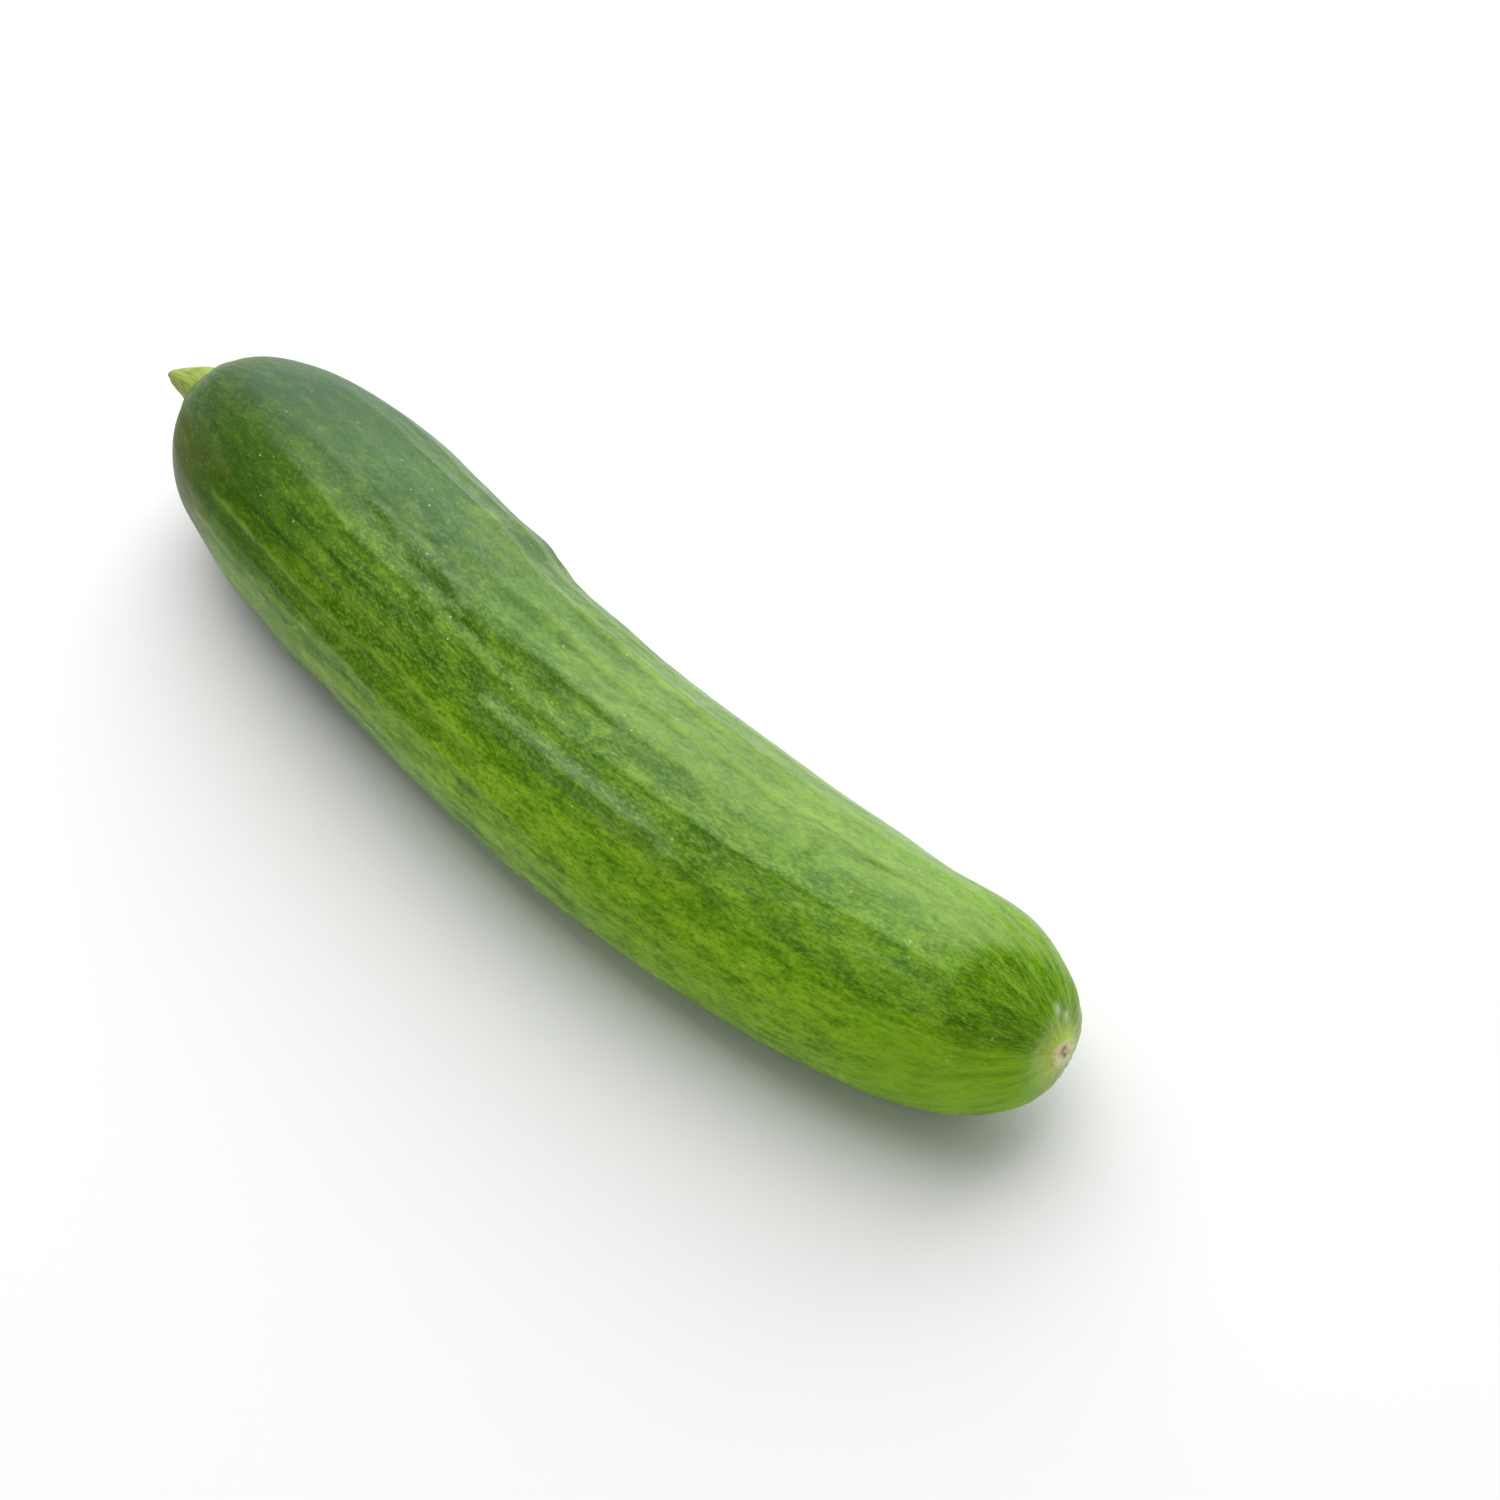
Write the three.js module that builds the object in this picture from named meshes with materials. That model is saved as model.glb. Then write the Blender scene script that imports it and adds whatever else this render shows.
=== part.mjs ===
// A short smooth-skinned slicing cucumber, as picked, lying on its side.
//
// Millimetres, +Z up. The fruit lies along X with its stem end at -X and its blossom end at +X.
// The origin is on the flat that it rests on, under the middle of its length.
//
// The skin is a round section carried along a gently bent centre line. Its outline closes in a
// superellipse at each end, where the sections lean back so that both poles look up a little.
// Ribs, soft lobes, broad lumps, the collar round the stem and the corky scar at the blossom end
// are raised from that skin along its normal, all by formula.

import * as THREE from "three";

const TURN = 2 * Math.PI;
const UP = new THREE.Vector3(0, 0, 1);

// Fruit: overall form
const SPAN = 164; // stem pole to blossom pole, along X
const RADIUS = 17; // mean radius of the body
const BEND = 8.35; // how far the middle bows towards -Y
const BEND_SKEW = 1.265; // above 1 the deepest point of the bow moves towards the blossom end
const BEND_POWER = 1.3; // above 1 the ends straighten
const REST_SINK = 0.5; // depth of the flat that the fruit has grown where it lies

// Stem end and blossom end: the length over which each closes, how blunt it is (2 is an ellipse),
// how far its pole is raised, and how far its sections lean back, in radians
const STEM_CAP = 42.5;
const STEM_CAP_POWER = 2.8;
const STEM_LIFT = 2.3;
const STEM_LEAN = 0.22;
const BLOSSOM_CAP = 38;
const BLOSSOM_CAP_POWER = 2.25;
const BLOSSOM_LIFT = 2.1;
const BLOSSOM_LEAN = 0.23;
const LIFT_REACH = 0.07; // share of the span over which a pole is raised
const LEAN_REACH = 0.15; // share of the span over which the sections lean

// Where the girth swells or narrows: place (share of the span), spread (share) and change of radius
const GIRTH_CHANGES = [
  { at: 0.33, spread: 0.12, by: 0.4 },
  { at: 0.78, spread: 0.1, by: -0.8 },
];

// Broad lumps and dents: place along the span, angle round the section (90 is the top), spread
// along and height
const LUMPS = [
  { at: 0.2, angle: 28, spread: 0.06, height: 0.45 },
  { at: 0.358, angle: 28, spread: 0.024, height: 0.6 },
  { at: 0.41, angle: 28, spread: 0.05, height: -0.7 },
  { at: 0.53, angle: 28, spread: 0.055, height: -0.2 },
  { at: 0.85, angle: 28, spread: 0.05, height: -1.1 },
  { at: 0.94, angle: 28, spread: 0.035, height: 0.65 },
  { at: 0.055, angle: 205, spread: 0.03, height: 0.5 },
  { at: 0.165, angle: 205, spread: 0.06, height: 0.7 },
  { at: 0.256, angle: 207, spread: 0.03, height: 0.65 },
  { at: 0.64, angle: 210, spread: 0.05, height: -0.2 },
  { at: 0.84, angle: 212, spread: 0.04, height: -0.3 },
];
const LUMP_WIDTH = 30; // degrees, their spread round the section

// Lobes: the section is a very soft rounded triangle, from the fruit's three seed chambers
const LOBES = 3;
const LOBE_HEIGHT = 0.35;
const LOBE_ANGLE = 115; // degrees, one of the three rounded corners
const STEM_OPENING = 30; // distance from each pole at which the lobes and lumps are at full height
const BLOSSOM_OPENING = 26;

// Ribs: fine, uneven, slightly wandering ridges that run along the fruit
const RIBS = 24;
const RIB_HEIGHT = 0.34;
const RIB_SHARPNESS = 2; // above 1 the ridges are narrower than the valleys
const RIB_WANDER = 0.035; // radians
const RIB_FADE = 6; // distance from the blossom pole within which they sink into the skin

// Stem end: a flat seat for the stem, and a lumpy collar of skin round it
const SEAT_RADIUS = 4.2;
const COLLAR_RADIUS = 5.6;
const COLLAR_WIDTH = 1.3;
const COLLAR_HEIGHT = 0.45;
const COLLAR_FOLDS = 5;

// Blossom end: a corky disc where the flower dropped off, in a shallow dish
const SCAR_RADIUS = 2.1;
const SCAR_HEIGHT = 0.3;
const DISH_RADIUS = 3.4;
const DISH_WIDTH = 1.5;
const DISH_DEPTH = 0.3;

// Stem: a short tapered stub with five soft angles, torn off at a slant
const STEM_GAP = 0.3; // clearance between the stem's base and its seat
const STEM_LENGTH = 6; // base to the tip of the slanted end
const STEM_TURN = new THREE.Vector3(0, -0.4, -0.15); // how far it leans off the fruit's axis
const STEM_ANGLES = 5;
const STEM_ANGLE_HEIGHT = 0.12;
const STEM_CUT_ANGLE = 45; // degrees round the stem, the side where the stub is longest
const STEM_CUT_SLOPE = 0.6; // rise of the slanted end for each millimetre across the stub
// radius of the stub at shares of its length
const STEM_RADII = [
  [0, 4.1],
  [0.15, 3.9],
  [0.35, 3.5],
  [0.6, 2.8],
  [0.85, 1.8],
  [1, 0.8],
];

// Mesh
const FRUIT_ROWS = 50;
const COLUMNS_PER_RIB = 4;
const POLE_CROWDING = 0.07; // draws the rows towards the poles
const STEM_ROWS = 9;
const STEM_COLUMNS = 20;

const radians = THREE.MathUtils.degToRad;
const hill = (x, middle, spread) => Math.exp(-(((x - middle) / spread) ** 2));

// 0 below low, 1 above high, and smooth between.
const ease = (low, high, x) => THREE.MathUtils.smoothstep(x, low, high);

// 1 at a pole and 0 beyond the reach, falling as a square.
const nearPole = (distance, reach) => Math.max(0, 1 - distance / reach) ** 2;

// Sideways place of the centre line at share t of the span, before its middle is brought to Y = 0.
function bow(t) {
  return -BEND * Math.abs(Math.sin(Math.PI * t ** BEND_SKEW)) ** BEND_POWER;
}

// Radius of the body at share t, with the ends left open.
function girth(t) {
  return GIRTH_CHANGES.reduce((sum, g) => sum + g.by * hill(t, g.at, g.spread), RADIUS);
}

// Share of the girth that is left at a distance from a pole, on a superellipse of that length.
function closing(distance, length, power) {
  const u = Math.max(0, 1 - distance / length);
  return (1 - u ** power) ** (1 / power);
}

// Radius of the skin at share t, closed at both poles.
function skinRadius(t) {
  const stemEnd = closing(t * SPAN, STEM_CAP, STEM_CAP_POWER);
  const blossomEnd = closing((1 - t) * SPAN, BLOSSOM_CAP, BLOSSOM_CAP_POWER);
  return girth(t) * stemEnd * blossomEnd;
}

// Share of the span at which the stem end is as wide as the seat. Nearer the pole it is cut flat.
const SEAT_SHARE = (() => {
  const u = (SEAT_RADIUS / girth(0)) ** STEM_CAP_POWER;
  return (STEM_CAP / SPAN) * (1 - (1 - u) ** (1 / STEM_CAP_POWER));
})();

// Point of the centre line at share t. It rises and falls with the girth, so that the underside
// stays level, and it rises to the poles.
function centre(t) {
  const lift = STEM_LIFT * nearPole(t, LIFT_REACH) + BLOSSOM_LIFT * nearPole(1 - t, LIFT_REACH);
  return new THREE.Vector3((t - 0.5) * SPAN, bow(t) - bow(0.5), girth(t) - REST_SINK + lift);
}

// The section at share t: the direction it faces, towards the blossom end, and its own two axes.
function section(t) {
  const step = 0.001;
  const level = centre(Math.min(1, t + step)).sub(centre(Math.max(0, t - step)));
  level.setZ(0).normalize();
  const side = new THREE.Vector3(-level.y, level.x, 0);
  const lean = BLOSSOM_LEAN * nearPole(1 - t, LEAN_REACH) - STEM_LEAN * nearPole(t, LEAN_REACH);
  const along = level.clone().multiplyScalar(Math.cos(lean)).addScaledVector(UP, Math.sin(lean));
  const up = UP.clone().multiplyScalar(Math.cos(lean)).addScaledVector(level, -Math.sin(lean));
  return { along, side, up };
}

// How strongly the ribs stand out: not at all at the stem end, most just before the middle, and
// about half as much from there to the tip.
function ribStrength(t) {
  return ease(0.05, 0.34, t) * (1 - 0.55 * ease(0.5, 0.8, t)) * closing((1 - t) * SPAN, RIB_FADE, 2);
}

// Angle round the section at which column angle phi runs at share t. The ribs stand closer
// together on one side than on the other, and they wander.
function ribAngle(phi, t) {
  const bunching = 0.105 * Math.sin(2 * phi - radians(120)) + 0.035 * Math.sin(4 * phi - radians(300));
  const slow = Math.sin(TURN * 2.2 * t + 2 * phi);
  const quick = 0.6 * Math.sin(TURN * 5.3 * t + 5 * phi + 1);
  return phi + bunching + RIB_WANDER * ribStrength(t) * (slow + quick);
}

// Height of the ribs: crests at whole multiples of the rib pitch, uneven from rib to rib, and
// fainter underneath.
function ribs(phi, theta, t) {
  const crest = (0.5 + 0.5 * Math.cos(RIBS * phi)) ** RIB_SHARPNESS - 0.4;
  const uneven = 0.7 + 0.25 * Math.sin(5 * phi + 1.2) + 0.2 * Math.sin(9 * phi - 3 * t);
  const side = 0.7 + 0.3 * Math.sin(theta);
  return RIB_HEIGHT * ribStrength(t) * crest * uneven * side;
}

// Height of the lobes and lumps, which fade out towards the poles.
function swelling(theta, t) {
  const turn = THREE.MathUtils.radToDeg(theta);
  const lobes = LOBE_HEIGHT * Math.cos(LOBES * (theta - radians(LOBE_ANGLE)));
  const lumps = LUMPS.reduce((sum, lump) => {
    const across = THREE.MathUtils.euclideanModulo(turn - lump.angle + 180, 360) - 180;
    return sum + lump.height * hill(t, lump.at, lump.spread) * hill(across, 0, LUMP_WIDTH);
  }, 0);
  const stemEnd = closing(t * SPAN, STEM_OPENING, 2);
  const blossomEnd = closing((1 - t) * SPAN, BLOSSOM_OPENING, 2);
  return (lobes + lumps) * stemEnd * blossomEnd;
}

// Swellings of skin in a ring round the stem's seat.
function collar(theta, t) {
  const folds = 0.7 + 0.3 * Math.cos(COLLAR_FOLDS * theta);
  const ring = hill(skinRadius(t), COLLAR_RADIUS, COLLAR_WIDTH);
  return t < 0.5 ? COLLAR_HEIGHT * folds * ring : 0;
}

// The raised disc at the blossom pole, and the dish round it.
function scar(t) {
  const out = skinRadius(t);
  const disc = SCAR_HEIGHT * (1 - ease(0.8 * SCAR_RADIUS, 1.3 * SCAR_RADIUS, out));
  return t < 0.5 ? 0 : disc - DISH_DEPTH * hill(out, DISH_RADIUS, DISH_WIDTH);
}

// A point of the skin: the bare form, moved along its normal by the relief, and no lower than the
// surface that the fruit lies on.
function skinPoint(phi, t) {
  const theta = ribAngle(phi, t);
  const { along, side, up } = section(t);
  const out = side.multiplyScalar(Math.cos(theta)).addScaledVector(up, Math.sin(theta));
  const step = 0.0005;
  const before = Math.max(0, t - step);
  const after = Math.min(1, t + step);
  const slope = (skinRadius(after) - skinRadius(before)) / ((after - before) * SPAN);
  const normal = out.clone().addScaledVector(along, -slope).normalize();
  const height = swelling(theta, t) + ribs(phi, theta, t) + collar(theta, t) + scar(t);
  const point = centre(Math.max(t, SEAT_SHARE)).addScaledVector(out, skinRadius(t));
  point.addScaledVector(normal, height);
  return point.setZ(Math.max(0, point.z));
}

// Shares of the span for the rows, evenly spaced along the skin's outline but closer at the poles.
function rowShares(rows) {
  const fine = 4000;
  const lengths = [0];
  for (let i = 1; i <= fine; i++) {
    const rise = skinRadius(i / fine) - skinRadius((i - 1) / fine);
    lengths.push(lengths[i - 1] + Math.hypot(SPAN / fine, rise));
  }
  const shares = [];
  let at = 0;
  for (let row = 1; row < rows; row++) {
    const v = row / rows;
    const wanted = (v - POLE_CROWDING * Math.sin(TURN * v)) * lengths[fine];
    while (lengths[at + 1] < wanted) {
      at += 1;
    }
    const part = (wanted - lengths[at]) / (lengths[at + 1] - lengths[at]);
    shares.push((at + part) / fine);
  }
  return shares;
}

// A closed skin from rings of points, all with the same count, and a point at each end. Seen from
// the last ring, each ring turns counterclockwise.
function closedSkin(first, rings, last) {
  const columns = rings[0].length;
  const points = [first, ...rings.flat(), last];
  const index = [];
  const at = (row, column) => 1 + row * columns + (column % columns);
  for (let column = 0; column < columns; column++) {
    const next = column + 1;
    index.push(0, at(0, next), at(0, column));
    index.push(points.length - 1, at(rings.length - 1, column), at(rings.length - 1, next));
    for (let row = 0; row < rings.length - 1; row++) {
      index.push(at(row, column), at(row, next), at(row + 1, next));
      index.push(at(row, column), at(row + 1, next), at(row + 1, column));
    }
  }
  const geometry = new THREE.BufferGeometry().setFromPoints(points);
  geometry.setIndex(index);
  geometry.computeVertexNormals();
  return geometry;
}

function fruitGeometry() {
  const columns = RIBS * COLUMNS_PER_RIB;
  const angles = Array.from({ length: columns }, (_, column) => (TURN * column) / columns);
  const rings = rowShares(FRUIT_ROWS).map((t) => angles.map((phi) => skinPoint(phi, t)));
  const stemPole = centre(SEAT_SHARE);
  const blossomPole = centre(1).addScaledVector(section(1).along, scar(1));
  return closedSkin(stemPole, rings, blossomPole);
}

// Radius of the stub at a share of its length, in straight steps between the listed places.
function stemRadius(share) {
  const next = Math.max(1, STEM_RADII.findIndex(([place]) => place >= share));
  const [placeBefore, radiusBefore] = STEM_RADII[next - 1];
  const [place, radius] = STEM_RADII[next];
  return THREE.MathUtils.mapLinear(share, placeBefore, place, radiusBefore, radius);
}

// The stub leaves its seat squarely and leans over towards its torn end.
function stemGeometry() {
  const { along, side, up } = section(0);
  const outward = along.negate();
  const base = centre(SEAT_SHARE).addScaledVector(outward, STEM_GAP);
  const longest = radians(STEM_CUT_ANGLE);
  const rings = [];
  for (let row = 0; row <= STEM_ROWS; row++) {
    const share = row / STEM_ROWS;
    const reach = share * STEM_LENGTH;
    const middle = base.clone().addScaledVector(outward, reach);
    middle.addScaledVector(STEM_TURN, share * reach);
    const ring = [];
    for (let column = 0; column < STEM_COLUMNS; column++) {
      const angle = (TURN * column) / STEM_COLUMNS;
      const ridge = STEM_ANGLE_HEIGHT * Math.cos(STEM_ANGLES * angle) * ease(0, 0.25, share);
      const radius = stemRadius(share) + ridge;
      const cut = STEM_CUT_SLOPE * radius * (Math.cos(angle - longest) - 1) * share ** 1.5;
      const point = middle.clone().addScaledVector(side, radius * Math.cos(angle));
      point.addScaledVector(up, radius * Math.sin(angle)).addScaledVector(outward, cut);
      ring.push(point);
    }
    rings.push(ring);
  }
  const cutMiddle = rings[STEM_ROWS].reduce((sum, point) => sum.add(point), new THREE.Vector3());
  return closedSkin(cutMiddle.divideScalar(STEM_COLUMNS), rings.reverse(), base);
}

const skinMaterial = new THREE.MeshStandardMaterial({ color: 0x4a7d1c, roughness: 0.42, metalness: 0 });
const stemMaterial = new THREE.MeshStandardMaterial({ color: 0x94a541, roughness: 0.7, metalness: 0 });

const fruit = new THREE.Mesh(fruitGeometry(), skinMaterial);
fruit.name = "fruit";

const stem = new THREE.Mesh(stemGeometry(), stemMaterial);
stem.name = "stem";

const cucumber = new THREE.Group();
cucumber.add(fruit, stem);

export default cucumber;
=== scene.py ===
# The looks of a short smooth-skinned slicing cucumber that lies on its side on a pale floor.
#
# The fine skin and stem are worked out here in millimetres, in the part's frame: the stem end is at
# -X, the blossom end at +X, and Z is up off the floor. They are made in metres.
#
# Two numbers give a place on the fruit. t is the share of the span, from 0 at the stem pole to 1 at
# the blossom pole. theta is the angle round the section: 0 on the hollow side of the bend, a quarter
# turn on top, half a turn on the bulging side and three quarters underneath. phi is the same angle
# before the ribs wander.

import bpy
import numpy as np
from mathutils import Matrix, Vector


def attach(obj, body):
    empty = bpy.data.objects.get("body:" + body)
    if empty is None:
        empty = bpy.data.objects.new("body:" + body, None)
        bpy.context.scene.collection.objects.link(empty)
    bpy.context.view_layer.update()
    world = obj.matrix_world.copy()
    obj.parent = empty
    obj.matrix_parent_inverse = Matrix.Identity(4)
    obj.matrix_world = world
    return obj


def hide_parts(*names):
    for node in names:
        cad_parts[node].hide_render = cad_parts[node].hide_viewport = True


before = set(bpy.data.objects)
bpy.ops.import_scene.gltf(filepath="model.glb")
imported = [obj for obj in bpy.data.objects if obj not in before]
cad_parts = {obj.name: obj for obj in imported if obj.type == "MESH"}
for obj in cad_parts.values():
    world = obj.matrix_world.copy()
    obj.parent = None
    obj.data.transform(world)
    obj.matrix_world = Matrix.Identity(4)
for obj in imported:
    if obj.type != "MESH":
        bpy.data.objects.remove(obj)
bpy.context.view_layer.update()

MM = 0.001
TURN = 2 * np.pi
UP = np.array([0.0, 0.0, 1.0])

# ----------------------------------------
# The form, with the same dimensions and formulas as the solids
# ----------------------------------------

SPAN = 164.0  # stem pole to blossom pole, along X
RADIUS = 17.0
BEND = 8.35
BEND_SKEW = 1.265
BEND_POWER = 1.3
REST_SINK = 0.5

STEM_CAP, STEM_CAP_POWER, STEM_LIFT, STEM_LEAN = 42.5, 2.8, 2.3, 0.22
BLOSSOM_CAP, BLOSSOM_CAP_POWER, BLOSSOM_LIFT, BLOSSOM_LEAN = 38.0, 2.25, 2.1, 0.23
LIFT_REACH = 0.07
LEAN_REACH = 0.15

# place (share of the span), spread and change of radius
GIRTH_CHANGES = [(0.33, 0.12, 0.4), (0.78, 0.10, -0.8)]

# place, angle round the section in degrees, spread along and height
LUMPS = [
    (0.2, 28, 0.06, 0.45),
    (0.358, 28, 0.024, 0.6),
    (0.41, 28, 0.05, -0.7),
    (0.53, 28, 0.055, -0.2),
    (0.85, 28, 0.05, -1.1),
    (0.94, 28, 0.035, 0.65),
    (0.055, 205, 0.03, 0.5),
    (0.165, 205, 0.06, 0.7),
    (0.256, 207, 0.03, 0.65),
    (0.64, 210, 0.05, -0.2),
    (0.84, 212, 0.04, -0.3),
]
LUMP_WIDTH = 30.0

LOBES, LOBE_HEIGHT, LOBE_ANGLE = 3, 0.35, 115.0
STEM_OPENING, BLOSSOM_OPENING = 30.0, 26.0

RIBS, RIB_HEIGHT, RIB_SHARPNESS, RIB_WANDER, RIB_FADE = 24, 0.34, 2.0, 0.035, 6.0
RIB_LEVEL = 0.4  # how far the ribs are let down, as a share of their height
RIB_START, RIB_FAINTER, RIB_FAINTNESS = (0.05, 0.34), (0.5, 0.8), 0.55  # along the fruit
# waves that bunch the ribs: size in radians, number round and turn in degrees
BUNCHING = [(0.105, 2, 120), (0.035, 4, 300)]
# waves that make them wander: size, number along, number round and start in radians
WANDERING = [(1.0, 2.2, 2, 0.0), (0.6, 5.3, 5, 1.0)]

SEAT_RADIUS = 4.2
COLLAR_RADIUS, COLLAR_WIDTH, COLLAR_HEIGHT, COLLAR_FOLDS = 5.6, 1.3, 0.45, 5
SCAR_RADIUS, SCAR_HEIGHT = 2.1, 0.3
DISH_RADIUS, DISH_WIDTH, DISH_DEPTH = 3.4, 1.5, 0.3

STEM_LENGTH = 6.0
# the solid's end is a little rounder and lower than this torn one
STEM_TURN = np.array([-0.02, -0.35, -0.07])
STEM_ANGLES, STEM_ANGLE_HEIGHT = 5, 0.12
STEM_CUT_ANGLE, STEM_CUT_SLOPE = 110.0, 0.9
STEM_PLACES = [0.0, 0.15, 0.35, 0.6, 0.85, 1.0]
STEM_RADII = [3.9, 3.7, 3.2, 2.5, 1.65, 0.95]


def hill(x, middle, spread):
    """A bell curve: 1 at the middle."""
    return np.exp(-(((x - middle) / spread) ** 2))


def ease(low, high, x):
    """0 below low, 1 above high, and smooth between."""
    s = np.clip((x - low) / (high - low), 0, 1)
    return s * s * (3 - 2 * s)


def between(rise, fall, x):
    """0, then 1 from the end of the rise to the start of the fall, then 0 again."""
    return ease(*rise, x) * (1 - ease(*fall, x))


def near_pole(distance, reach):
    """1 at a pole, falling to 0 at its reach."""
    return np.maximum(0, 1 - distance / reach) ** 2


def round_to(theta, angle):
    """Degrees round the section from an angle to theta, between -180 and 180."""
    return (np.degrees(theta) - angle + 180) % 360 - 180


def facing(theta, angle, spread):
    """1 at an angle round the section, fading over a spread, both in degrees."""
    return hill(round_to(theta, angle), 0, spread)


def bow(t):
    """Sideways place of the centre line: one arch, skewed towards the blossom end."""
    return -BEND * np.abs(np.sin(np.pi * t**BEND_SKEW)) ** BEND_POWER


def girth(t):
    """Radius of the body with its ends left open."""
    return RADIUS + sum(by * hill(t, at, spread) for at, spread, by in GIRTH_CHANGES)


def closing(distance, length, power):
    """Share of the girth left at a distance from a pole: a superellipse of that length."""
    return (1 - np.maximum(0, 1 - distance / length) ** power) ** (1 / power)


def skin_radius(t):
    """Radius of the bare body, closed at both ends."""
    stem_end = closing(t * SPAN, STEM_CAP, STEM_CAP_POWER)
    return girth(t) * stem_end * closing((1 - t) * SPAN, BLOSSOM_CAP, BLOSSOM_CAP_POWER)


SEAT_SHARE = (STEM_CAP / SPAN) * (
    1 - (1 - (SEAT_RADIUS / girth(0.0)) ** STEM_CAP_POWER) ** (1 / STEM_CAP_POWER)
)


def centre(t):
    """The centre line. It rises and falls with the girth, so the underside stays level."""
    lift = STEM_LIFT * near_pole(t, LIFT_REACH) + BLOSSOM_LIFT * near_pole(1 - t, LIFT_REACH)
    return np.stack([(t - 0.5) * SPAN, bow(t) - bow(0.5), girth(t) - REST_SINK + lift], axis=-1)


def section(t):
    """Unit vectors along, side and up of the section at share t, which leans back at each end."""
    step = 0.001
    level = centre(np.minimum(1, t + step)) - centre(np.maximum(0, t - step))
    level[..., 2] = 0
    level /= np.linalg.norm(level, axis=-1, keepdims=True)
    side = np.stack([-level[..., 1], level[..., 0], np.zeros_like(t)], axis=-1)
    lean = BLOSSOM_LEAN * near_pole(1 - t, LEAN_REACH) - STEM_LEAN * near_pole(t, LEAN_REACH)
    lean = lean[..., None]
    return level * np.cos(lean) + UP * np.sin(lean), side, UP * np.cos(lean) - level * np.sin(lean)


def rib_strength(t):
    """How high the ribs stand along the fruit, from 0 to 1."""
    fade = closing((1 - t) * SPAN, RIB_FADE, 2)
    return ease(*RIB_START, t) * (1 - RIB_FAINTNESS * ease(*RIB_FAINTER, t)) * fade


def rib_angle(phi, t):
    """Angle round the section of column angle phi: ribs bunch towards one side and wander."""
    bunching = sum(size * np.sin(k * phi - np.radians(turn)) for size, k, turn in BUNCHING)
    wander = sum(
        size * np.sin(TURN * along * t + around * phi + start)
        for size, along, around, start in WANDERING
    )
    return phi + bunching + RIB_WANDER * rib_strength(t) * wander


def crest(phi):
    """1 along the middle of a rib and 0 in the groove beside it."""
    return 0.5 + 0.5 * np.cos(RIBS * phi)


def ribs(phi, theta, t):
    """Raised cosine ridges, uneven from rib to rib and fainter underneath."""
    ridge = crest(phi) ** RIB_SHARPNESS - RIB_LEVEL
    uneven = 0.7 + 0.25 * np.sin(5 * phi + 1.2) + 0.2 * np.sin(9 * phi - 3 * t)
    return RIB_HEIGHT * rib_strength(t) * ridge * uneven * (0.7 + 0.3 * np.sin(theta))


def swelling(theta, t):
    """Three soft lobes and the listed lumps, fading towards the poles."""
    height = LOBE_HEIGHT * np.cos(LOBES * (theta - np.radians(LOBE_ANGLE)))
    for at, angle, spread, rise in LUMPS:
        height = height + rise * hill(t, at, spread) * facing(theta, angle, LUMP_WIDTH)
    fade = closing(t * SPAN, STEM_OPENING, 2) * closing((1 - t) * SPAN, BLOSSOM_OPENING, 2)
    return height * fade


def collar(theta, t):
    """A ring of five soft swellings round the stem's seat."""
    folds = 0.7 + 0.3 * np.cos(COLLAR_FOLDS * theta)
    ring = hill(skin_radius(t), COLLAR_RADIUS, COLLAR_WIDTH)
    return np.where(t < 0.5, COLLAR_HEIGHT * folds * ring, 0)


def scar(t):
    """The raised disc at the blossom pole and the dish round it."""
    out = skin_radius(t)
    disc = SCAR_HEIGHT * (1 - ease(0.8 * SCAR_RADIUS, 1.3 * SCAR_RADIUS, out))
    return np.where(t < 0.5, 0, disc - DISH_DEPTH * hill(out, DISH_RADIUS, DISH_WIDTH))


# ----------------------------------------
# Repeatable noise, on points in millimetres
# ----------------------------------------


def lattice(cell, seed):
    """A number from 0 to 1 for each whole-numbered cell, the same on every run."""
    mixed = cell[..., 0] * 374761393 + cell[..., 1] * 668265263 + cell[..., 2] * 974634777
    mixed = (mixed + seed * 1274126177) & 0xFFFFFFFF
    mixed = ((mixed ^ (mixed >> 13)) * 1103515245) & 0xFFFFFFFF
    return ((mixed ^ (mixed >> 16)) & 0xFFFFFF) / 0xFFFFFF


def corners():
    return np.stack(np.meshgrid([0, 1], [0, 1], [0, 1], indexing="ij"), axis=-1).reshape(-1, 3)


def noise(points, seed):
    """Smooth value noise from -1 to 1, with one lump or so a unit."""
    cell = np.floor(points).astype(np.int64)
    part = points - cell
    part = part * part * (3 - 2 * part)
    total = 0
    for corner in corners():
        weight = np.where(corner == 1, part, 1 - part).prod(axis=-1)
        total = total + weight * lattice(cell + corner, seed)
    return 2 * total - 1


def pillows(points, seed):
    """Rounded cells: 1 at the middle of a cell and 0 along its borders."""
    cell = np.floor(points).astype(np.int64)
    nearest = np.full(points.shape[:-1], 9.0)
    second = nearest.copy()
    steps = np.arange(-1, 2)
    for step in np.stack(np.meshgrid(steps, steps, steps), axis=-1).reshape(-1, 3):
        home = cell + step
        middle = home + np.stack([lattice(home, seed + axis) for axis in range(3)], axis=-1)
        distance = np.linalg.norm(points - middle, axis=-1)
        second = np.minimum(second, np.maximum(distance, nearest))
        nearest = np.minimum(nearest, distance)
    return ease(0, 0.5, second - nearest)


# ----------------------------------------
# Fine relief of the skin
# ----------------------------------------

VEIN_HEIGHT = 0.12  # narrow cords along the crests of the ribs
VEIN_SHARPNESS = 14
BLISTER_HEIGHT, BLISTER_LEVEL = 0.2, 0.6
BLISTER_LENGTH, BLISTER_WIDTH, BLISTER_SEED = 4.6, 2.9, 3
DIMPLE_HEIGHT = 0.045  # soft unevenness all over
CRINKLE_HEIGHT = 0.07
WAVE_HEIGHT = 0.25
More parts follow.
